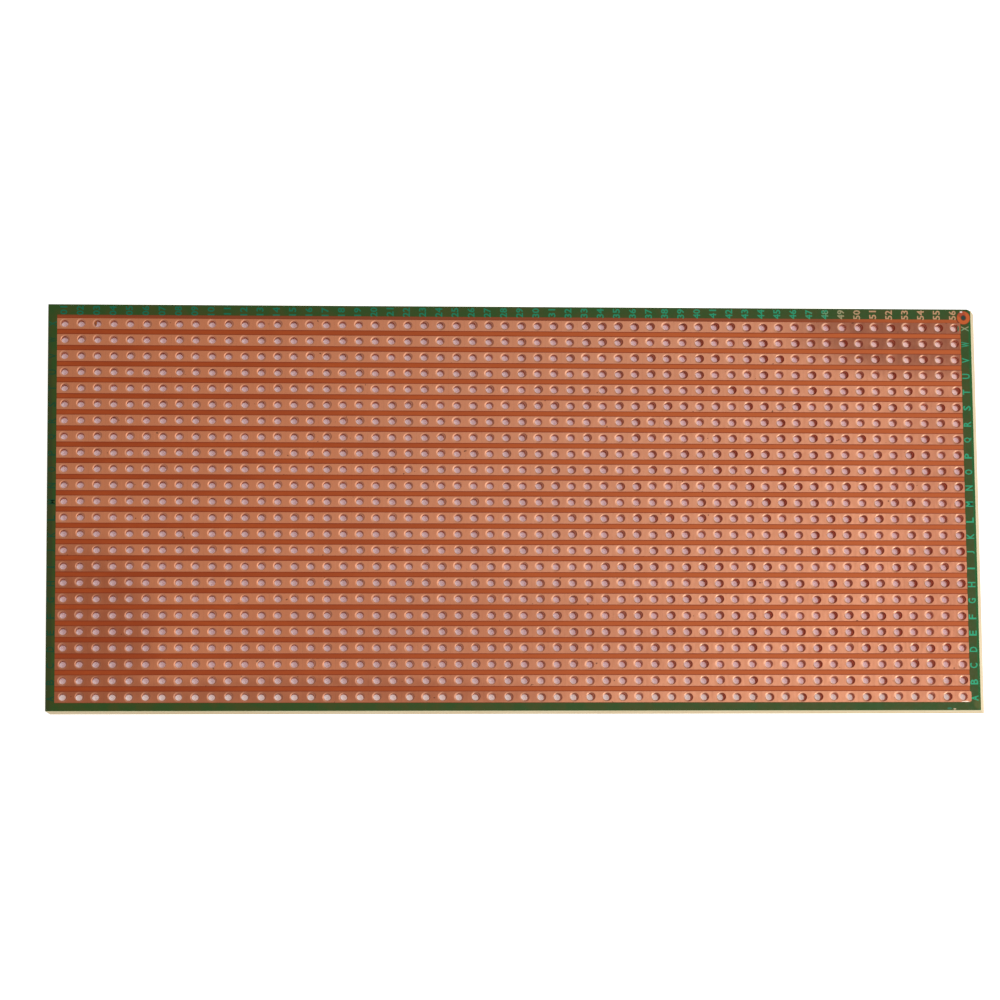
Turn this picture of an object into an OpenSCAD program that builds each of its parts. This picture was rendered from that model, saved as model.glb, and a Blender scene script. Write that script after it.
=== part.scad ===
// Copper stripboard: one punched sheet of brown laminate with parallel copper strips on its upper face
// and a green printed border round them. It lies flat with the copper up.
// X runs along the strips and Y across them. The origin is under the middle of the sheet, on its lower face.

/* [Hole grid] */
// Distance between neighbouring holes, along and across the strips
pitch = 2.54; // [2.54:0.1 inch, 2.5:2.5 mm]
// Holes along each strip
columns = 56; // [8:1:56]
// Number of strips, one row of holes each
rows = 24; // [4:1:24]
// Bore that a component lead goes through
bore_d = 1.05; // [0.9:0.05:1.2]

/* [Laminate] */
// Thickness of the bare sheet
sheet_t = 1.5; // [1.2:0.1:1.6]
// Sheet past the first column of holes, on the copper face
margin_left = 2.6; // [2.4:0.05:4]
// Sheet past the last column of holes, on the copper face
margin_right = 2.7; // [2.4:0.05:4]
// Sheet past the front strip's holes, on the copper face
margin_front = 2.15; // [2:0.05:4]
// Sheet past the back strip's holes, on the copper face
margin_back = 3.05; // [2:0.05:4]
// How far the shear carried the lower face to the right
lean_right = 0.75; // [0:0.05:0.9]
// How far the shear carried the lower face to the front
lean_front = 0.35; // [0:0.05:0.9]
// Radius of the one blunted corner, at the back right
corner_r = 0.65; // [0.2:0.05:1]

/* [Copper strips] */
// Width of each strip
strip_w = 1.7; // [1.4:0.05:2]
// Thickness of the copper foil
foil_t = 0.035; // [0.035:1 oz, 0.07:2 oz]
// Strip past its first hole
strip_left = 1.2; // [0.8:0.05:1.8]
// Strip past its last hole
strip_right = 1.05; // [0.8:0.05:1.8]

/* [Printed border] */
// Thickness of the green print
mask_t = 0.025; // [0.02:0.005:0.035]
// Clear space between the front row of holes and the border
clear_front = 0.9; // [0.85:0.05:1.2]
// Clear space between the back row of holes and the border
clear_back = 1.4; // [0.85:0.05:2]
// Diameter of the clearing round the corner mark
mark_clear_d = 2.2; // [1:0.1:2.4]
// Diameter of the dot in the middle of the corner mark
mark_dot_d = 0.6; // [0.3:0.1:0.9]
// Corner mark past the last column of holes
mark_x = 1.57; // [1.4:0.01:2]
// Corner mark past the back row of holes
mark_y = 1.7; // [1.4:0.01:2]

/* [Hidden] */
LETTERS = "abcdefghijklmnopqrstuvwxyz";
round_fn = 48;
past = 1;

// Half the spans of the hole grid
half_x = (columns - 1) * pitch / 2;
half_y = (rows - 1) * pitch / 2;

// Edges of the copper face, seen from the middle of the hole grid
left = -half_x - margin_left;
right = half_x + margin_right;
front = -half_y - margin_front;
back = half_y + margin_back;

// The grid's middle, set so that the origin is under the middle of the whole sheet
grid_x = -(left + right + lean_right) / 2;
grid_y = -(front - lean_front + back) / 2;

function column_x(column) = (column - (columns - 1) / 2) * pitch;
function row_y(row) = (row - (rows - 1) / 2) * pitch;

module on_grid() {
    translate([grid_x, grid_y, 0]) children();
}

// Sheet between its left and right sheared edges, which lean the same way
module lean_x_slab() {
    reach = back - front + 2 * past;
    translate([0, back + past, 0])
        rotate([90, 0, 0])
            linear_extrude(reach)
                polygon([[left + lean_right, 0], [right + lean_right, 0], [right, sheet_t], [left, sheet_t]]);
}

// Sheet between its front and back sheared edges
module lean_y_slab() {
    reach = right - left + lean_right + 2 * past;
    translate([left - past, 0, 0])
        rotate([90, 0, 90])
            linear_extrude(reach)
                polygon([[front - lean_front, 0], [back - lean_front, 0], [back, sheet_t], [front, sheet_t]]);
}

// Outline of the copper face, with its blunted back right corner
module face_outline() {
    difference() {
        translate([left, front]) square([right - left, back - front]);
        translate([right - corner_r, back - corner_r])
            difference() {
                square(corner_r + past);
                circle(corner_r, $fn = round_fn);
            }
    }
}

// All the lead holes, as the punch leaves them
module lead_holes() {
    for (row = [0:rows - 1])
        for (column = [0:columns - 1])
            translate([column_x(column), row_y(row), -past])
                cylinder(d = bore_d, h = sheet_t + 2 * past, $fn = round_fn);
}

// What is missing at the blunted corner, leaning with the sheared edges
module corner_waste() {
    tilt = atan2(norm([lean_right, lean_front]), -sheet_t);
    turn = atan2(-lean_front, lean_right);
    translate([right - corner_r, back - corner_r, sheet_t])
        rotate([0, tilt, turn])
            rotate([0, 0, -turn])
                mirror([0, 0, 1])
                    difference() {
                        translate([0, 0, -3 * sheet_t]) cube([2 * past, 2 * past, 6 * sheet_t]);
                        cylinder(r = corner_r, h = 8 * sheet_t, center = true, $fn = round_fn);
                    }
}

module laminate() {
    color([0.66, 0.33, 0.17])
        on_grid()
            difference() {
                intersection() {
                    lean_x_slab();
                    lean_y_slab();
                }
                corner_waste();
                lead_holes();
            }
}

// One copper strip with its row of holes
module strip(row) {
    color([0.80, 0.52, 0.38])
        on_grid()
            translate([0, row_y(row), sheet_t])
                linear_extrude(foil_t)
                    difference() {
                        translate([-half_x - strip_left, -strip_w / 2])
                            square([2 * half_x + strip_left + strip_right, strip_w]);
                        for (column = [0:columns - 1])
                            translate([column_x(column), 0]) circle(d = bore_d, $fn = round_fn);
                    }
}

// Green print all round the strips, with a round clearing and a dot at the back right corner
module solder_mask() {
    color([0.22, 0.31, 0.15])
        on_grid()
            translate([0, 0, sheet_t])
                linear_extrude(mask_t) {
                    difference() {
                        face_outline();
                        translate([-half_x - strip_left, -half_y - clear_front])
                            square([2 * half_x + strip_left + strip_right, 2 * half_y + clear_front + clear_back]);
                        translate([half_x + mark_x, half_y + mark_y]) circle(d = mark_clear_d, $fn = round_fn);
                    }
                    translate([half_x + mark_x, half_y + mark_y]) circle(d = mark_dot_d, $fn = round_fn);
                }
}

laminate();
solder_mask();
for (row = [0:rows - 1])
    strip(row);
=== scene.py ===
"""Looks of a copper stripboard: punched laminate, copper strips, green printed border and its grid marks."""
from __future__ import annotations

import logging
import math
from dataclasses import dataclass, field
from enum import Enum

import bpy
from mathutils import Matrix, Vector


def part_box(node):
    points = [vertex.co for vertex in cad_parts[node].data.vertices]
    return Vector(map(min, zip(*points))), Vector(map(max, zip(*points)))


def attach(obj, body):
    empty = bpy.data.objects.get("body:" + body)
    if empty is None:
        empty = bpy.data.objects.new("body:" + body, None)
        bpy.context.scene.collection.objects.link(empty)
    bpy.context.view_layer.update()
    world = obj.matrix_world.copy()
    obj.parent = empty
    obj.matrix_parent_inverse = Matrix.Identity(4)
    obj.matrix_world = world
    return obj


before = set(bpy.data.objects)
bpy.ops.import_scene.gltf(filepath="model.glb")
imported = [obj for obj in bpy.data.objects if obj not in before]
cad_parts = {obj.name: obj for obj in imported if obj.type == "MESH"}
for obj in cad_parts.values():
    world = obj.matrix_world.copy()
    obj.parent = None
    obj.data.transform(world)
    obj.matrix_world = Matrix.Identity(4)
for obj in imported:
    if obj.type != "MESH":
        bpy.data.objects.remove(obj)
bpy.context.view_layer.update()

MM = 0.001
PITCH = 2.54 * MM
COLUMNS = 56
ROWS = 24
ROW_LETTERS = "abcdefghijklmnopqrstuvwx"
STRIP_LEFT = 1.2 * MM
BODY = "root"

log = logging.getLogger("stripboard")

Colour = tuple[float, float, float, float]
Socket = bpy.types.NodeSocket
WHITE: Colour = (1.0, 1.0, 1.0, 1.0)


def tone(red: int, green: int, blue: int) -> Colour:
    """Turns a display colour into the linear one that shaders use.

    Args:
        red: red level from 0 to 255.
        green: green level from 0 to 255.
        blue: blue level from 0 to 255.

    Returns:
        The linear colour with full alpha.
    """
    def linear(level: int) -> float:
        """Linear value of one display level."""
        share = level / 255
        return share / 12.92 if share <= 0.04045 else ((share + 0.055) / 1.055) ** 2.4

    return (linear(red), linear(green), linear(blue), 1.0)


@dataclass(frozen=True)
class Stain:
    """An oval patch of another colour on the copper face, placed by the grid of holes.

    Its reach is half its width and half its height, in millimetres.
    """

    column: float
    row: float
    reach: tuple[float, float]
    colour: Colour
    share: float = 1.0
    soft: float = 0.5


class Graph:
    """The shader nodes of one material."""

    def __init__(self, name: str) -> None:
        """Starts an empty node tree.

        Args:
            name: the material's name.
        """
        self.material = bpy.data.materials.new(name)
        self.material.use_nodes = True
        self.tree = self.material.node_tree
        self.tree.nodes.clear()
        self.output = self.tree.nodes.new("ShaderNodeOutputMaterial")
        self.place = self.node("ShaderNodeTexCoord").outputs["Object"]

    def node(self, kind: str, inputs: dict[str | int, object] | None = None,
             **settings: object) -> bpy.types.Node:
        """Adds a node.

        Args:
            kind: Blender's name of the node type.
            inputs: a value or a socket for each named or numbered input.
            settings: the node's own properties.

        Returns:
            The new node.
        """
        made = self.tree.nodes.new(kind)
        for name, value in settings.items():
            setattr(made, name, value)
        for name, value in (inputs or {}).items():
            if isinstance(value, Socket):
                self.tree.links.new(value, made.inputs[name])
            else:
                made.inputs[name].default_value = value
        return made

    def math(self, operation: str, first: object, second: object = 0.0) -> Socket:
        """Joins two numbers by one operation and returns the result's socket."""
        return self.node("ShaderNodeMath", {0: first, 1: second}, operation=operation).outputs[0]

    def times(self, first: object, second: object) -> Socket:
        """Multiplies two numbers and returns the product's socket."""
        return self.math("MULTIPLY", first, second)

    def plus(self, first: object, second: object) -> Socket:
        """Adds two numbers and returns the sum's socket."""
        return self.math("ADD", first, second)

    def minus(self, first: object, second: object) -> Socket:
        """Takes the second number from the first and returns the difference's socket."""
        return self.math("SUBTRACT", first, second)

    def ramp(self, value: Socket, low: float, high: float,
             to_low: float = 0.0, to_high: float = 1.0) -> Socket:
        """Maps a range smoothly onto another.

        Args:
            value: the number to map.
            low: where the ramp starts.
            high: where the ramp ends.
            to_low: result at the start.
            to_high: result at the end.

        Returns:
            The mapped number's socket.
        """
        wanted = {"Value": value, "From Min": low, "From Max": high, "To Min": to_low, "To Max": to_high}
        return self.node("ShaderNodeMapRange", wanted, interpolation_type="SMOOTHSTEP").outputs[0]

    def mix(self, share: object, first: object, second: object) -> Socket:
        """Blends two colours by a share and returns the colour's socket."""
        return self.node("ShaderNodeMix", {0: share, 6: first, 7: second}, data_type="RGBA").outputs[2]

    def noise(self, scale: float, detail: float = 3.0,
              stretch: tuple[float, float, float] = (1, 1, 1)) -> Socket:
        """Makes a cloudy pattern on the object's own coordinates.

        Args:
            scale: features for each metre.
            detail: number of finer layers.
            stretch: factor on the scale along each axis.

        Returns:
            The pattern's socket, about 0.5 on average.
        """
        placed = self.node("ShaderNodeMapping", {"Vector": self.place, "Scale": stretch}).outputs[0]
        wanted = {"Vector": placed, "Scale": scale, "Detail": detail}
        return self.node("ShaderNodeTexNoise", wanted).outputs[0]

    def axes(self) -> tuple[Socket, Socket, Socket]:
        """Splits the object's own coordinates into X, Y and Z."""
        split = self.node("ShaderNodeSeparateXYZ", {0: self.place})
        return split.outputs[0], split.outputs[1], split.outputs[2]

    def from_hole(self, grid: HoleGrid, wander: float, beside: tuple[object, object] = (0.0, 0.0)
                  ) -> tuple[Socket, Socket]:
        """Measures how far the surface is from the nearest hole, or from a place beside it.

        Args:
            grid: where the holes are.
            wander: how far the punch missed the middle, at most, in metres.
            beside: where the place is from the hole's middle, in metres or as sockets.

        Returns:
            The distance in metres, and a random number from 0 to 1 for each hole.
        """
        x, y, _ = self.axes()
        steps = [self.math("DIVIDE", self.minus(place, first), PITCH)
                 for place, first in ((x, grid.first.x), (y, grid.first.y))]
        nearest = [self.math("ROUND", step) for step in steps]
        cell = self.node("ShaderNodeCombineXYZ", {0: nearest[0], 1: nearest[1]}).outputs[0]
        chance = self.node("ShaderNodeTexWhiteNoise", {"Vector": cell}, noise_dimensions="2D")
        parts = self.node("ShaderNodeSeparateXYZ", {0: chance.outputs["Color"]})
        squares = []
        for step, whole, part, aside in zip(steps, nearest, parts.outputs, beside):
            miss = self.plus(self.times(self.minus(part, 0.5), 2 * wander), aside)
            off = self.minus(self.times(self.minus(step, whole), PITCH), miss)
            squares.append(self.times(off, off))
        return self.math("SQRT", self.plus(squares[0], squares[1])), chance.outputs["Value"]

    def spot(self, centre: Vector, reach: tuple[float, float], soft: float = 0.5) -> Socket:
        """Marks an oval patch of the flat face.

        Args:
            centre: the patch's middle.
            reach: half its width and half its height.
            soft: share of the patch over which it fades.

        Returns:
            A socket that is 1 inside the patch and 0 outside it.
        """
        x, y, _ = self.axes()
        across = self.math("DIVIDE", self.minus(x, centre.x), reach[0])
        along = self.math("DIVIDE", self.minus(y, centre.y), reach[1])
        squares = self.plus(self.times(across, across), self.times(along, along))
        return self.ramp(squares, 1 - soft, 1 + soft, 1.0, 0.0)

    def stained(self, colour: Socket, grid: HoleGrid, stains: tuple[Stain, ...],
                uneven: Socket | None = None) -> Socket:
        """Lays stains over a colour.

        Args:
            colour: the clean surface's colour.
            grid: where the holes are.
            stains: the stains, the last one on top.
            uneven: factor on their strength, if it isn't the same all over.

        Returns:
            The stained colour's socket.
        """
        for stain in stains:
            reach = (stain.reach[0] * MM, stain.reach[1] * MM)
            patch = self.spot(grid.at(stain.column, stain.row), reach, stain.soft)
            share = self.times(patch, stain.share)
            if uneven is not None:
                share = self.times(share, uneven)
            colour = self.mix(share, colour, stain.colour)
        return colour

    def finish(self, colour: object, roughness: object, bump: Socket | None = None, bump_mm: float = 0.0,
               **constants: float) -> bpy.types.Material:
        """Closes the tree with one surface shader.

        Args:
            colour: base colour, or its socket.
            roughness: roughness, or its socket.
            bump: height pattern, if the surface has one.
            bump_mm: how high the pattern stands, in millimetres.
            constants: other values of the surface shader, by name with underscores.

        Returns:
            The finished material.
        """
        wanted: dict[str | int, object] = {"Base Color": colour, "Roughness": roughness}
        for name, value in constants.items():
            wanted[name.replace("_", " ")] = value
        if bump is not None:
            raised = self.node("ShaderNodeBump", {"Height": bump, "Distance": bump_mm * MM, "Strength": 1.0})
            wanted["Normal"] = raised.outputs[0]
        surface = self.node("ShaderNodeBsdfPrincipled", wanted)
        self.tree.links.new(surface.outputs[0], self.output.inputs[0])
        return self.material


@dataclass(frozen=True)
class HoleGrid:
    """Where the holes are on the copper face, in metres."""

    first: Vector

    @classmethod
    def from_frame(cls) -> HoleGrid:
        """Reads the grid's first hole from the front strip's place."""
        low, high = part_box("strip_a")
        return cls(Vector((low.x + STRIP_LEFT, (low.y + high.y) / 2, high.z)))

    def at(self, column: float, row: float) -> Vector:
        """Gives a place on the copper face.

        Args:
            column: column counted from 0 at the left.
            row: strip counted from 0 at the front.

        Returns:
            The place in the frame.
        """
        return self.first + Vector((column * PITCH, row * PITCH, 0))

    @property
    def middle(self) -> Vector:
        """The middle of the whole grid."""
        return self.at((COLUMNS - 1) / 2, (ROWS - 1) / 2)


@dataclass(frozen=True)
class LaminateFinish:
    """Paper and phenolic resin: orange brown faces, deep red hole walls and pale sheared edges."""

    grid: HoleGrid
    face: Colour = tone(188, 80, 24)
    face_dark: Colour = tone(168, 66, 16)
    # painted light: the face turns lighter to the right, toward the lamps
    face_lit_right: Colour = tone(208, 102, 44)
    right_from: int = 4
    right_to: int = 46
    strip_half: float = 0.85 * MM
    line: Colour = tone(146, 52, 12)
    line_reach: float = 0.13 * MM
    wall: Colour = tone(212, 106, 66)
    wall_dark: Colour = tone(178, 76, 44)
    # paler lower wall: partly broken fibres, partly painted light from below
    wall_low_fibre_and_light: Colour = tone(250, 216, 200)
    low_from: float = 0.95 * MM
    low_to: float = 0.5 * MM
    drawn: Colour = tone(200, 116, 80)
    drawn_reach: float = 0.15 * MM
    edge: Colour = tone(250, 232, 196)
    edge_fibre: Colour = tone(236, 210, 166)
    # painted highlight: a pale green line along the top of the sheared edges
    edge_highlight: Colour = tone(226, 232, 176)
    edge_highlight_reach: float = 0.3 * MM
    clear_of_holes: float = 1.0 * MM
    marks: tuple[Stain, ...] = (
        Stain(27.5, 23.5, (80.0, 0.36), tone(140, 66, 32), 0.8, 0.3),
        Stain(53.0, 23.5, (12.0, 0.5), tone(190, 88, 34), 1.0, 0.8),
        Stain(55.62, 23.67, (1.2, 1.2), tone(120, 50, 20), 1.0, 0.1),
        Stain(55.62, 23.67, (1.02, 1.02), tone(212, 96, 34), 1.0, 0.15),
        Stain(55.52, 23.86, (0.6, 0.5), tone(170, 64, 40), 0.7, 0.6),
        Stain(55.62, 23.67, (0.44, 0.44), tone(92, 46, 26), 0.9, 0.3),
        # painted highlight: a pale glint at the back edge of the corner ring
        Stain(55.48, 24.04, (0.2, 0.14), tone(250, 226, 216), 1.0, 0.5),
    )

    def material(self) -> bpy.types.Material:
        """Builds the laminate's material.

        Returns:
            The material, with a face, hole walls and sheared edges of their own.
        """
        graph = Graph("laminate")
        x, y, z = graph.axes()
        top = self.grid.first.z
        fibre = graph.noise(2600, 3, (0.25, 1, 1))
        layers = graph.noise(900, 4, (0.12, 0.12, 3))
        outside = self._outside(graph, x, y)
        normal = graph.node("ShaderNodeNewGeometry").outputs["Normal"]
        upright = graph.math("ABSOLUTE", graph.node("ShaderNodeSeparateXYZ", {0: normal}).outputs[2])
        side = graph.ramp(upright, 0.9, 0.97, 1.0, 0.0)
        edge = graph.mix(graph.ramp(layers, 0.4, 0.7), self.edge_fibre, self.edge)
        edge = graph.mix(0.35, edge, self.edge)
        # painted highlight along the top of the sheared edges
        edge = graph.mix(graph.ramp(z, top - self.edge_highlight_reach, top, 0.0, 0.8), edge, self.edge_highlight)
        colour = graph.mix(side, self._face(graph, fibre), graph.mix(outside, self._wall(graph, z), edge))
        roughness = graph.plus(graph.times(side, 0.4), 0.42)
        relief = graph.plus(graph.times(layers, outside), graph.times(fibre, 0.15))
        return graph.finish(colour, roughness, relief, 0.03, Specular_IOR_Level=0.2)

    def _face(self, graph: Graph, fibre: Socket) -> Socket:
        """Colours the faces, plain below, and with lines and marks on the copper side.

        Args:
            graph: the laminate's nodes.
            fibre: the pattern of the paper's fibres.

        Returns:
            The faces' colour.
        """
        x, y, z = graph.axes()
        flow = graph.noise(160, 4, (0.35, 1, 1))
        face = graph.mix(graph.ramp(flow, 0.3, 0.7), self.face_dark, self.face)
        face = graph.mix(graph.ramp(fibre, 0.3, 0.8, 0.0, 0.4), face, self.face_dark)
        # painted light: the face turns lighter to the right
        first, last = self.grid.at(self.right_from, 0).x, self.grid.at(self.right_to, 0).x
        face = graph.mix(graph.ramp(x, first, last, 0.0, 0.75), face, self.face_lit_right)
        upper = graph.math("GREATER_THAN", z, self.grid.first.z / 2)
        face = graph.mix(graph.times(self._lines(graph, y), upper), face, self.line)
        return graph.stained(face, self.grid, self.marks, upper)

    def _wall(self, graph: Graph, z: Socket) -> Socket:
        """Colours the walls of the holes, deep red above and paler below: partly pale broken fibres where the
        punch came through, partly painted light coming up through the hole.

        Args:
            graph: the laminate's nodes.
            z: height in the sheet.

        Returns:
            The walls' colour.
        """
        top = self.grid.first.z
        _, chance = graph.from_hole(self.grid, 0.0)
        wall = graph.mix(chance, self.wall, self.wall_dark)
        wall = graph.mix(graph.ramp(z, top - self.low_from, top - self.low_to), self.wall_low_fibre_and_light, wall)
        drawn = graph.ramp(z, top - 1.3 * self.drawn_reach, top - self.drawn_reach)
        return graph.mix(drawn, wall, self.drawn)

    def _lines(self, graph: Graph, y: Socket) -> Socket:
        """Marks dark lines along both edges of every strip.

        Args:
            graph: the laminate's nodes.
            y: place across the strips.

        Returns:
            A socket that is above 0 on the lines.
        """
        steps = graph.math("DIVIDE", graph.minus(y, self.grid.first.y), PITCH)
        off = graph.math("ABSOLUTE", graph.minus(steps, graph.math("ROUND", steps)))
        clear = graph.minus(graph.times(off, PITCH), self.strip_half)
        uneven = graph.times(graph.noise(700, 2, (0.3, 1, 1)), self.line_reach)
        return graph.ramp(graph.minus(clear, uneven), 0.0, self.line_reach, 0.8, 0.0)

    def _outside(self, graph: Graph, x: Socket, y: Socket) -> Socket:
        """Marks what lies outside the field of holes, so only the sheared edges turn pale.

        Args:
            graph: the laminate's nodes.
            x: place along the strips.
            y: place across them.

        Returns:
            A socket that is 1 outside the field and 0 inside it.
        """
        middle = self.grid.middle
        half_x = (COLUMNS - 1) * PITCH / 2 + self.clear_of_holes
        half_y = (ROWS - 1) * PITCH / 2 + self.clear_of_holes
        far_x = graph.math("GREATER_THAN", graph.math("ABSOLUTE", graph.minus(x, middle.x)), half_x)
        far_y = graph.math("GREATER_THAN", graph.math("ABSOLUTE", graph.minus(y, middle.y)), half_y)
        return graph.math("MAXIMUM", far_x, far_y)


@dataclass(frozen=True)
class CopperFinish:
    """Bare rolled copper under a thin clear flux, browner to the left and paler to the right from a painted
    sheen, with darker patches that are partly tarnish and partly painted dark reflections.
    """

    grid: HoleGrid
    bore_r: float = 0.52 * MM
    mouth_r: float = 0.76 * MM
    dip_mm: float = 0.09
    wander: float = 0.09 * MM
    fade: tuple[int, int, int] = (0, 16, COLUMNS - 12)
    # painted sheen: the paler copper towards the right, where the lamps shine on it
    copper_sheen: Colour = tone(207, 138, 104)
    warm: Colour = tone(212, 130, 89)
    # painted highlight: the pale copper of the ring around each hole and of its upper left
    rim: Colour = tone(250, 190, 158)
    highlight_ring_r: tuple[float, float] = (0.6 * MM, 0.84 * MM)
    rim_highlight_r: tuple[float, float] = (0.56 * MM, 0.7 * MM)
    rim_highlight_beside: tuple[float, float] = (-0.06 * MM, 0.1 * MM)
    # painted shade: the dark crescent at the upper right of each hole's mouth
    shade_crescent: Colour = tone(142, 48, 24)
    shade_crescent_r: tuple[float, float] = (0.55 * MM, 0.66 * MM)
    shade_crescent_left: tuple[float, float] = (0.08 * MM, 0.09 * MM)
    shade_crescent_right: tuple[float, float] = (0.17 * MM, 0.01 * MM)
    speck: Colour = tone(96, 52, 30)
    # darker patches: partly tarnish, partly painted dark reflections in the copper
    tarnish_and_dark_reflections: tuple[Stain, ...] = (
        Stain(56.0, 14.0, (12.0, 30.0), tone(178, 110, 80), 0.6, 0.9),
        Stain(53.5, 23.0, (20.0, 7.5), tone(138, 76, 52), 0.9, 0.7),
        Stain(0.5, 3.5, (12.0, 15.0), tone(162, 82, 48), 0.75, 0.6),
        Stain(16.0, 0.0, (34.0, 3.4), tone(166, 92, 60), 0.75, 0.6),
        Stain(24.0, 3.5, (34.0, 8.0), tone(166, 92, 60), 0.3, 0.8),
        Stain(54.5, 3.0, (14.0, 13.0), tone(176, 108, 78), 0.35, 0.8),
    )
    marks: tuple[Stain, ...] = (
        Stain(55.42, 21.5, (0.16, 5.4), tone(196, 92, 44), 1.0, 0.3),
        Stain(55.27, 22.98, (0.14, 0.45), tone(84, 128, 92), 0.9, 0.5),
        # painted highlight: a pale glint along the lower edge of the front strip's end
        Stain(55.12, -0.31, (0.6, 0.06), tone(250, 236, 214), 1.0, 0.4),
    )

    def material(self) -> bpy.types.Material:
        """Builds the copper's material.

        Returns:
            The material, in which the foil dips into each hole.
        """
        graph = Graph("copper")
        x, _, _ = graph.axes()
        first, _, last = (self.grid.at(column, 0).x for column in self.fade)
        grain = graph.noise(2400, 3, (1, 0.25, 1))
        cloud = graph.ramp(graph.noise(130, 4), 0.3, 0.7, -0.12, 0.12)
        # painted sheen: warmer to the left, paler to the right
        along = graph.plus(graph.ramp(x, first, last), cloud)
        colour = graph.mix(graph.ramp(along, 0.0, 1.0), self.warm, self.copper_sheen)
        colour = graph.mix(graph.ramp(grain, 0.3, 0.8, 0.0, 0.25), colour, self.warm)
        patchy = graph.ramp(graph.noise(420, 3), 0.25, 0.6, 0.75, 1.0)
        # darker patches, partly tarnish and partly painted dark reflections
        colour = graph.stained(colour, self.grid, self.tarnish_and_dark_reflections, patchy)
        specks = graph.ramp(graph.noise(1500, 1), 0.77, 0.80, 0.0, 0.8)
        colour = graph.mix(specks, colour, self.speck)
        colour = graph.stained(self._mouths(graph, colour), self.grid, self.marks)
        distance, chance = graph.from_hole(self.grid, self.wander)
        depth = graph.times(graph.ramp(chance, 0.0, 1.0, 0.4, 1.0), graph.ramp(x, first, last, 0.5, 1.0))
        dip = graph.times(graph.ramp(distance, self.bore_r, self.mouth_r), depth)
        relief = graph.plus(dip, graph.times(grain, 0.05))
        roughness = graph.ramp(grain, 0.2, 0.8, 0.36, 0.46)
        return graph.finish(colour, roughness, relief, self.dip_mm, Metallic=0.5, Specular_IOR_Level=0.3)

    def _mouths(self, graph: Graph, colour: Socket) -> Socket:
        """Adds a painted highlight around every hole and at its upper left, and painted shade in a dark
        crescent at its upper right, stronger to the right.

        Args:
            graph: the copper's nodes.
            colour: the copper's colour so far.

        Returns:
            The colour with the painted highlights and shade in it.
        """
        x, _, _ = graph.axes()
        first, middle, last = (self.grid.at(column, 0).x for column in self.fade)
        distance, chance = graph.from_hole(self.grid, self.wander)
        # painted highlight: a pale ring around every hole
        colour = graph.mix(graph.ramp(distance, *self.highlight_ring_r, 0.25, 0.0), colour, self.rim)
        # painted highlight at the upper left of every hole
        rim, _ = graph.from_hole(self.grid, self.wander, self.rim_highlight_beside)
        strength = graph.times(graph.ramp(x, middle, last, 0.2, 0.55), graph.ramp(rim, *self.rim_highlight_r, 1.0, 0.0))
        colour = graph.mix(strength, colour, self.rim)
        # painted shade: a dark crescent at the upper right of every hole
        aside = [graph.ramp(x, first, last, low, high) for low, high in zip(self.shade_crescent_left, self.shade_crescent_right)]
        shade_crescent, _ = graph.from_hole(self.grid, self.wander, (aside[0], aside[1]))
        strength = graph.times(graph.ramp(x, middle, last, 0.45, 1.0), graph.ramp(chance, 0.0, 1.0, 0.7, 1.0))
        strength = graph.times(strength, graph.ramp(shade_crescent, *self.shade_crescent_r, 1.0, 0.0))
        return graph.mix(strength, colour, self.shade_crescent)


@dataclass(frozen=True)
class PrintFinish:
    """Green print, olive where it lies on the brown sheet."""

    grid: HoleGrid
    olive: Colour = tone(64, 77, 20)
    green: Colour = tone(46, 81, 24)
    rim: Colour = tone(16, 96, 36)
    margin_right: float = 2.7 * MM
    rim_from: float = 0.5 * MM
    rim_to: float = 0.25 * MM
    marks: tuple[Stain, ...] = (
        Stain(-0.95, 8.0, (0.7, 36.0), tone(54, 62, 22), 0.7, 0.5),
        Stain(54.12, -0.73, (0.36, 0.15), tone(40, 124, 94), 0.9, 0.5),
        Stain(54.44, -0.77, (0.22, 0.1), tone(222, 196, 158), 1.0, 0.4),
        Stain(56.0, -0.45, (0.9, 0.8), tone(92, 96, 36), 0.7, 0.6),
        Stain(55.62, 23.67, (0.4, 0.4), tone(22, 62, 56), 0.9, 0.3),
        # painted highlight: a pale glint at the back edge of the corner ring
        Stain(55.48, 24.04, (0.22, 0.12), tone(250, 226, 216), 1.0, 0.5),
    )

    def material(self) -> bpy.types.Material:
        """Builds the print's material.

        Returns:
            The material, greener along its right edge.
        """
        graph = Graph("solder_mask")
        x, _, _ = graph.axes()
        grain = graph.noise(3000, 2)
        colour = graph.mix(graph.ramp(graph.noise(420, 4), 0.35, 0.65), self.olive, self.green)
        outer = self.grid.at(COLUMNS - 1, 0).x + self.margin_right
        colour = graph.mix(graph.ramp(x, outer - self.rim_from, outer - self.rim_to), colour, self.rim)
        colour = graph.stained(colour, self.grid, self.marks)
        roughness = graph.ramp(grain, 0.3, 0.7, 0.36, 0.46)
        return graph.finish(colour, roughness, grain, 0.004, Specular_IOR_Level=0.2)


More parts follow.
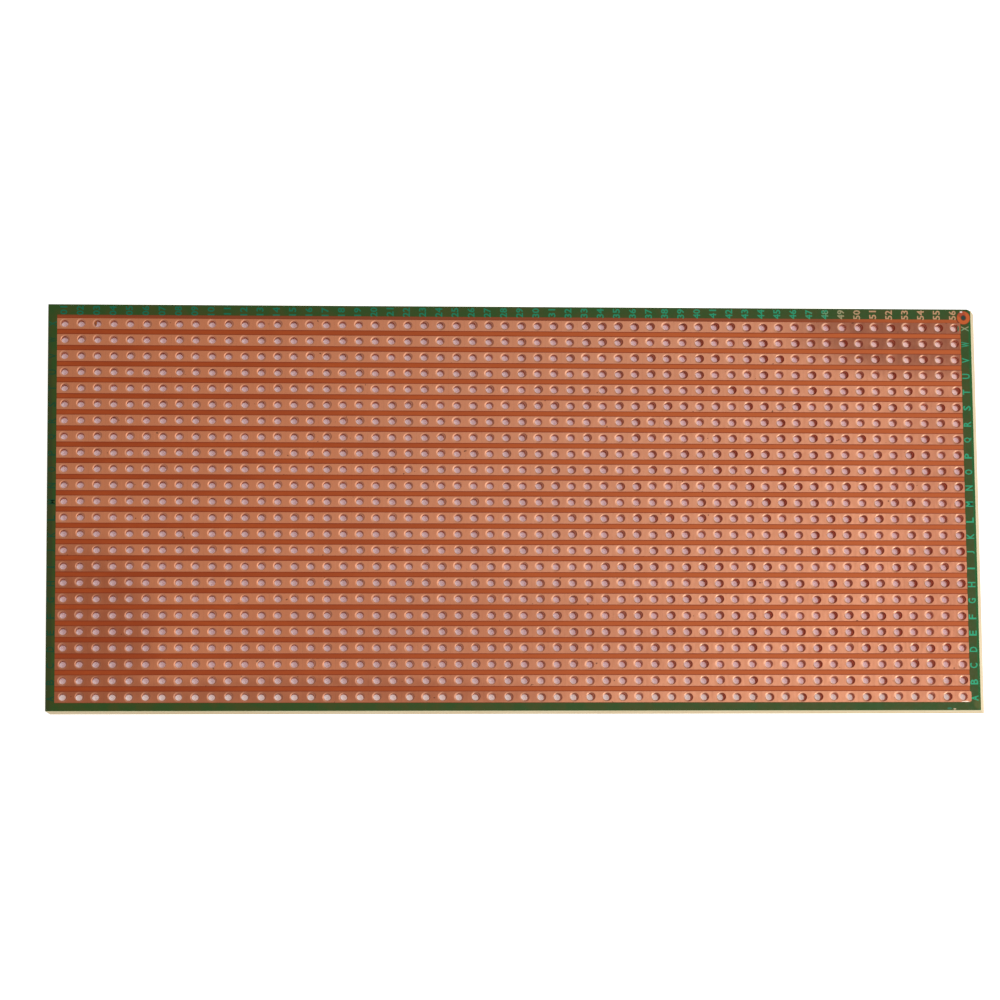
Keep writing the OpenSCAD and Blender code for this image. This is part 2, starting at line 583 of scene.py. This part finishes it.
@dataclass(frozen=True)
class MarkFinish:
    """Copper seen through the green print."""

    grid: HoleGrid
    faint: Colour = tone(26, 78, 48)
    teal: Colour = tone(18, 116, 86)
    # painted sheen: the marks turn lighter to the right, toward the lamps
    mark_sheen: Colour = tone(42, 152, 110)
    # pale tan: partly copper where the print is rubbed through, partly a painted highlight
    worn_and_glint: Colour = tone(190, 146, 108)
    back_rows: tuple[float, float] = (22.6, 23.4)
    glint_and_wear_columns: tuple[int, int] = (45, 50)
    mark_sheen_x: tuple[float, float] = (-60 * MM, 70 * MM)

    def material(self) -> bpy.types.Material:
        """Builds the marks' material.

        Returns:
            The material, worn through to the copper at the end of the numbers.
        """
        graph = Graph("grid_marks")
        x, y, _ = graph.axes()
        back = graph.ramp(y, *(self.grid.at(0, row).y for row in self.back_rows))
        late = graph.ramp(x, *(self.grid.at(column, 0).x for column in self.glint_and_wear_columns))
        # painted sheen, stronger to the right
        colour = graph.mix(graph.ramp(x, *self.mark_sheen_x), graph.mix(back, self.faint, self.teal), self.mark_sheen)
        patchy = graph.ramp(graph.plus(graph.noise(1400, 2), graph.times(late, 0.45)), 0.55, 0.75)
        # pale tan at the end of the numbers: partly rubbed-through print, partly a painted highlight
        colour = graph.mix(graph.times(graph.times(late, back), patchy), colour, self.worn_and_glint)
        return graph.finish(colour, 0.4, Metallic=0.4, Specular_IOR_Level=0.2)


@dataclass(frozen=True)
class FloorFinish:
    """White floor that a camera sees as plain white, but for the board's shadow.

    It has one side only, so that the board's lower face can be looked at from below.
    """

    white: Colour = (0.9, 0.9, 0.9, 1.0)
    # painted shade and reddish bounce light on the floor under the board, lighter to the right, at the back
    # right and at the front
    under: Colour = tone(151, 129, 137)
    under_right: Colour = tone(171, 140, 149)
    right_fade: tuple[float, float] = (50 * MM, 20 * MM)
    under_back: Colour = tone(194, 165, 163)
    back_fade_x: tuple[float, float] = (24 * MM, 10 * MM)
    back_fade_y: tuple[float, float] = (24 * MM, 8 * MM)
    under_front: Colour = tone(174, 165, 165)
    front_fade: tuple[float, float] = (3 * MM, 6 * MM)
    glow: float = 0.72
    through: float = 0.8
    lean_right: float = 0.75 * MM
    lean_front: float = 0.35 * MM
    inset: float = 0.25 * MM
    soft: float = 0.1 * MM

    def material(self, low: Vector, high: Vector) -> bpy.types.Material:
        """Builds the floor's material.

        Args:
            low: lowest corner of the board.
            high: highest corner of the board.

        Returns:
            The material, rosy and dimmer under the board, where only its holes show it: painted shade and
            reddish bounce light.
        """
        graph = Graph("floor")
        x, y, _ = graph.axes()
        sides = ((x, low.x + self.lean_right, high.x), (y, low.y, high.y - self.lean_front))
        spans = [graph.times(graph.ramp(place, first + self.inset, first + self.inset + self.soft),
                             graph.ramp(place, last - self.inset - self.soft, last - self.inset, 1.0, 0.0))
                 for place, first, last in sides]
        inside = graph.times(spans[0], spans[1])
        right = graph.ramp(x, low.x + self.right_fade[0], high.x - self.right_fade[1])
        corner = graph.times(graph.ramp(x, *(high.x - reach for reach in self.back_fade_x)),
                             graph.ramp(y, *(high.y - reach for reach in self.back_fade_y)))
        front = graph.ramp(y, *(low.y + reach for reach in self.front_fade), 1.0, 0.0)
        under = graph.mix(right, self.under, self.under_right)
        under = graph.mix(corner, under, self.under_back)
        under = graph.mix(front, under, self.under_front)
        matt = graph.node("ShaderNodeBsdfDiffuse", {"Color": self.white}).outputs[0]
        seen = {"Color": graph.mix(inside, WHITE, under), "Strength": self.glow}
        light = graph.node("ShaderNodeEmission", seen).outputs[0]
        lit = graph.node("ShaderNodeAddShader", {0: matt, 1: light}).outputs[0]
        path = graph.node("ShaderNodeLightPath").outputs
        direct = graph.math("MAXIMUM", path["Is Camera Ray"], path["Is Glossy Ray"])
        direct = graph.math("MAXIMUM", direct, path["Is Transmission Ray"])
        # under the board the floor's glow also reaches diffuse rays and lights the hole walls from below
        direct = graph.math("MAXIMUM", direct, graph.times(inside, self.through))
        above = graph.node("ShaderNodeMixShader", {0: direct, 1: matt, 2: lit}).outputs[0]
        below = graph.node("ShaderNodeBsdfTransparent").outputs[0]
        back = graph.node("ShaderNodeNewGeometry").outputs["Backfacing"]
        both = graph.node("ShaderNodeMixShader", {0: back, 1: above, 2: below}).outputs[0]
        graph.tree.links.new(both, graph.output.inputs[0])
        return graph.material


def dress(piece: bpy.types.Object, material: bpy.types.Material) -> None:
    """Gives a piece its one material.

    Args:
        piece: the mesh object.
        material: its finish.
    """
    piece.data.materials.clear()
    piece.data.materials.append(material)


@dataclass
class Sheet:
    """The punched laminate."""

    finish: LaminateFinish

    def build(self) -> bpy.types.Object:
        """Dresses the sheet.

        Returns:
            The sheet.
        """
        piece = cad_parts["laminate"]
        dress(piece, self.finish.material())
        return piece


@dataclass
class Strips:
    """The copper strips, one for each row of holes."""

    finish: CopperFinish

    def build(self) -> list[bpy.types.Object]:
        """Dresses every strip.

        Returns:
            The strips from the front to the back.
        """
        copper = self.finish.material()
        pieces = [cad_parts[f"strip_{letter}"] for letter in ROW_LETTERS]
        for piece in pieces:
            dress(piece, copper)
        return pieces


@dataclass
class StripTip:
    """The rounded tip with which the front strip reaches over the border at its right end."""

    grid: HoleGrid
    finish: CopperFinish
    start: float = 1.05 * MM
    reach: float = 0.2 * MM
    half_width: float = 0.78 * MM
    corner_r: float = 0.17 * MM
    thickness: float = 0.01 * MM

    def build(self) -> bpy.types.Object:
        """Models the tip.

        Returns:
            The tip, rounded at its right end.
        """
        bpy.ops.object.select_all(action="DESELECT")
        bpy.ops.mesh.primitive_cube_add(size=1.0)
        piece = bpy.context.object
        piece.name = "front_strip_tip"
        centre = self.grid.at(COLUMNS - 1, 0) + Vector((self.start + self.reach / 2, 0, -self.thickness / 2))
        size = Vector((self.reach, 2 * self.half_width, self.thickness))
        piece.data.transform(Matrix.Translation(centre) @ Matrix.Diagonal((*size, 1)))
        bpy.ops.object.mode_set(mode="EDIT")
        bpy.ops.mesh.select_mode(type="EDGE")
        bpy.ops.mesh.select_all(action="DESELECT")
        bpy.ops.object.mode_set(mode="OBJECT")
        for edge in piece.data.edges:
            low, high = (piece.data.vertices[i].co for i in edge.vertices)
            edge.select = min(low.x, high.x) > centre.x and abs(low.y - high.y) < 1e-6
        bpy.ops.object.mode_set(mode="EDIT")
        bpy.ops.mesh.bevel(offset=self.corner_r, segments=5, affect="EDGES")
        bpy.ops.object.mode_set(mode="OBJECT")
        dress(piece, self.finish.material())
        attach(piece, BODY)
        return piece


class Side(Enum):
    """Which end of the strips a column of letters stands at."""

    LEFT = "left"
    RIGHT = "right"


@dataclass
class Border:
    """The printed border and its grid marks, which are copper under the print."""

    grid: HoleGrid
    number_height: float = 1.12 * MM
    number_length: float = 1.5 * MM
    number_rise: float = 2.09 * MM
    number_shift: float = -0.2 * MM
    letter_height: float = 1.2 * MM
    letter_length: float = 0.82 * MM
    letter_drop: float = 0.26 * MM
    letter_right: float = 1.75 * MM
    letter_left: float = 1.88 * MM
    widest: float = 1.1
    bolder: float = 0.02
    thickness: float = 0.012 * MM
    print_top: float = field(init=False)

    def __post_init__(self) -> None:
        """Reads the print's upper face from the frame."""
        self.print_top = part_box("solder_mask")[1].z

    def build(self) -> list[bpy.types.Object]:
        """Dresses the border and adds its marks.

        Returns:
            The border and its marks.
        """
        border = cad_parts["solder_mask"]
        dress(border, PrintFinish(self.grid).material())
        marks = MarkFinish(self.grid).material()
        pieces = [border, self._numbers(), self._letters(Side.LEFT), self._letters(Side.RIGHT)]
        for piece in pieces[1:]:
            dress(piece, marks)
            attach(piece, BODY)
        return pieces

    def _mark(self, words: str, centre: Vector, height: float, length: float) -> bpy.types.Object:
        """Makes one mark that reads from the front to the back.

        Args:
            words: what it says.
            centre: its middle on the copper face.
            height: height of its characters.
            length: length of the whole mark at most.

        Returns:
            The mark as a mesh with its place in it.
        """
        bpy.ops.object.select_all(action="DESELECT")
        bpy.ops.object.text_add()
        piece = bpy.context.object
        piece.data.body = words
        piece.data.extrude = 0.5
        piece.data.offset = self.bolder
        piece.data.resolution_u = 2
        bpy.ops.object.convert(target="MESH")
        piece = bpy.context.object
        low = Vector(map(min, *(v.co for v in piece.data.vertices)))
        high = Vector(map(max, *(v.co for v in piece.data.vertices)))
        size = high - low
        tall = height / size.y
        wide = min(length / size.x, self.widest * tall)
        thick = self.thickness / size.z
        move = Matrix.Translation(Vector((centre.x, centre.y, self.print_top)))
        turn = Matrix.Rotation(math.radians(90), 4, "Z")
        scale = Matrix.Diagonal((wide, tall, thick, 1))
        piece.data.transform(move @ turn @ scale @ Matrix.Translation(-(low + high) / 2))
        return piece

    def _joined(self, marks: list[bpy.types.Object], name: str) -> bpy.types.Object:
        """Joins marks into one piece.

        Args:
            marks: the marks.
            name: the piece's name.

        Returns:
            The joined piece.
        """
        bpy.ops.object.select_all(action="DESELECT")
        for mark in marks:
            mark.select_set(True)
        bpy.context.view_layer.objects.active = marks[0]
        bpy.ops.object.join()
        piece = bpy.context.object
        piece.name = name
        return piece

    def _numbers(self) -> bpy.types.Object:
        """Makes the column numbers along the back.

        Returns:
            The numbers as one piece.
        """
        marks = []
        for column in range(COLUMNS):
            centre = self.grid.at(column, ROWS - 1) + Vector((self.number_shift, self.number_rise, 0))
            marks.append(self._mark(f"{column + 1:02d}", centre, self.number_height, self.number_length))
        return self._joined(marks, "column_numbers")

    def _letters(self, side: Side) -> bpy.types.Object:
        """Makes the strip letters at one end.

        Args:
            side: which end.

        Returns:
            The letters as one piece.
        """
        marks = []
        for row, letter in enumerate(ROW_LETTERS.upper()):
            drop = self.letter_drop * (1 - 0.8 * row / (ROWS - 1))
            if side is Side.RIGHT:
                centre = self.grid.at(COLUMNS - 1, row) + Vector((self.letter_right, -drop, 0))
            else:
                centre = self.grid.at(0, row) - Vector((self.letter_left, drop, 0))
            marks.append(self._mark(letter, centre, self.letter_height, self.letter_length))
        return self._joined(marks, f"strip_letters_{side.value}")


@dataclass(frozen=True)
class Crumb:
    """A crumb of resin left in the mouth of a hole, with its place and size in millimetres."""

    column: int
    row: int
    off: tuple[float, float, float]
    size: tuple[float, float, float]
    seed: int


@dataclass
class Crumbs:
    """The few crumbs that stayed in the holes."""

    grid: HoleGrid
    dark: Colour = tone(128, 50, 12)
    light: Colour = tone(196, 104, 30)
    rough: float = 0.06
    places: tuple[Crumb, ...] = (
        Crumb(2, 23, (-0.30, 0.04, -0.16), (0.36, 0.84, 0.34), 4),
        Crumb(49, 21, (-0.22, 0.30, -0.14), (0.70, 0.34, 0.30), 9),
    )

    def build(self) -> list[bpy.types.Object]:
        """Makes every crumb.

        Returns:
            The crumbs.
        """
        graph = Graph("resin_crumb")
        colour = graph.mix(graph.ramp(graph.noise(2600, 3), 0.35, 0.65), self.dark, self.light)
        material = graph.finish(colour, 0.5, graph.noise(5200, 3), 0.04)
        pieces = []
        for number, crumb in enumerate(self.places):
            bpy.ops.object.select_all(action="DESELECT")
            bpy.ops.mesh.primitive_ico_sphere_add(subdivisions=3, radius=0.5)
            piece = bpy.context.object
            piece.name = f"crumb_{number + 1}"
            bpy.ops.object.mode_set(mode="EDIT")
            bpy.ops.mesh.select_all(action="SELECT")
            bpy.ops.transform.vertex_random(offset=self.rough, uniform=0.3, normal=0.7, seed=crumb.seed)
            bpy.ops.object.mode_set(mode="OBJECT")
            bpy.ops.object.shade_smooth()
            place = self.grid.at(crumb.column, crumb.row) + Vector(crumb.off) * MM
            piece.data.transform(Matrix.Translation(place) @ Matrix.Diagonal((*(Vector(crumb.size) * MM), 1)))
            dress(piece, material)
            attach(piece, BODY)
            pieces.append(piece)
        return pieces


@dataclass(frozen=True)
class Lamp:
    """A soft square lamp that faces the board."""

    name: str
    place: tuple[float, float, float]
    size: float
    watts: float


@dataclass
class Studio:
    """Floor, lamps and camera."""

    grid: HoleGrid
    camera_from_middle: Vector = field(default_factory=lambda: Vector((-50, -100, 640)) * MM)
    camera_pitch: float = math.radians(9.0187)
    camera_yaw: float = math.radians(-4.2122)
    camera_roll: float = math.radians(0.1447)
    lens: float = 150.29
    floor_size: float = 6.0
    floor_gap: float = 0.02 * MM
    lamps: tuple[Lamp, ...] = (
        Lamp("sheen_lamp", (0.26, 0.0, 0.75), 0.30, 1.3),
        Lamp("low_lamp", (0.23, -0.17, 0.19), 0.08, 0.34),
    )
    sky: float = 0.42

    def build(self) -> None:
        """Makes the whole studio."""
        self._camera()
        self._floor()
        for lamp in self.lamps:
            self._hang(lamp)
        self._sky()

    def _camera(self) -> None:
        """Puts the camera where the photograph was taken from."""
        data = bpy.data.cameras.new("camera")
        data.lens = self.lens
        camera = bpy.data.objects.new("camera", data)
        bpy.context.collection.objects.link(camera)
        turn = (Matrix.Rotation(self.camera_pitch, 4, "X") @ Matrix.Rotation(self.camera_yaw, 4, "Y")
                @ Matrix.Rotation(self.camera_roll, 4, "Z"))
        camera.matrix_world = Matrix.Translation(self.grid.middle + self.camera_from_middle) @ turn
        bpy.context.scene.camera = camera

    def _floor(self) -> None:
        """Lays a wide white floor under the board."""
        bpy.ops.object.select_all(action="DESELECT")
        bpy.ops.mesh.primitive_plane_add(size=self.floor_size)
        floor = bpy.context.object
        floor.name = "floor"
        floor.data.transform(Matrix.Translation((0, 0, -self.floor_gap)))
        low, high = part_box("laminate")
        floor.data.materials.append(FloorFinish().material(low, high))

    def _hang(self, lamp: Lamp) -> None:
        """Hangs one lamp.

        Args:
            lamp: its place, size and power.
        """
        data = bpy.data.lights.new(lamp.name, "AREA")
        data.size = lamp.size
        data.energy = lamp.watts
        hung = bpy.data.objects.new(lamp.name, data)
        bpy.context.collection.objects.link(hung)
        hung.location = lamp.place
        hung.rotation_euler = (-Vector(lamp.place)).to_track_quat("-Z", "Y").to_euler()

    def _sky(self) -> None:
        """Lights the studio evenly, and shows plain white behind everything."""
        world = bpy.data.worlds.new("studio")
        world.use_nodes = True
        tree = world.node_tree
        tree.nodes.clear()
        path = tree.nodes.new("ShaderNodeLightPath")
        direct = tree.nodes.new("ShaderNodeMath")
        direct.operation = "MAXIMUM"
        tree.links.new(path.outputs["Is Camera Ray"], direct.inputs[0])
        tree.links.new(path.outputs["Is Transmission Ray"], direct.inputs[1])
        soft = tree.nodes.new("ShaderNodeBackground")
        soft.inputs["Strength"].default_value = self.sky
        plain = tree.nodes.new("ShaderNodeBackground")
        for background in (soft, plain):
            background.inputs["Color"].default_value = WHITE
        mix = tree.nodes.new("ShaderNodeMixShader")
        tree.links.new(direct.outputs[0], mix.inputs[0])
        tree.links.new(soft.outputs[0], mix.inputs[1])
        tree.links.new(plain.outputs[0], mix.inputs[2])
        output = tree.nodes.new("ShaderNodeOutputWorld")
        tree.links.new(mix.outputs[0], output.inputs[0])
        bpy.context.scene.world = world
        bpy.context.scene.view_settings.view_transform = "Standard"


def main() -> None:
    """Builds the board's looks and the studio, and reports each piece."""
    logging.basicConfig(level=logging.INFO, format="%(name)s: %(message)s")
    grid = HoleGrid.from_frame()
    made = [Sheet(LaminateFinish(grid)).build()]
    copper = CopperFinish(grid)
    made += Strips(copper).build()
    made.append(StripTip(grid, copper).build())
    made += Border(grid).build()
    made += Crumbs(grid).build()
    for piece in made:
        log.info("%s: %d faces", piece.name, len(piece.data.polygons))
    Studio(grid).build()


if __name__ == "__main__":
    main()
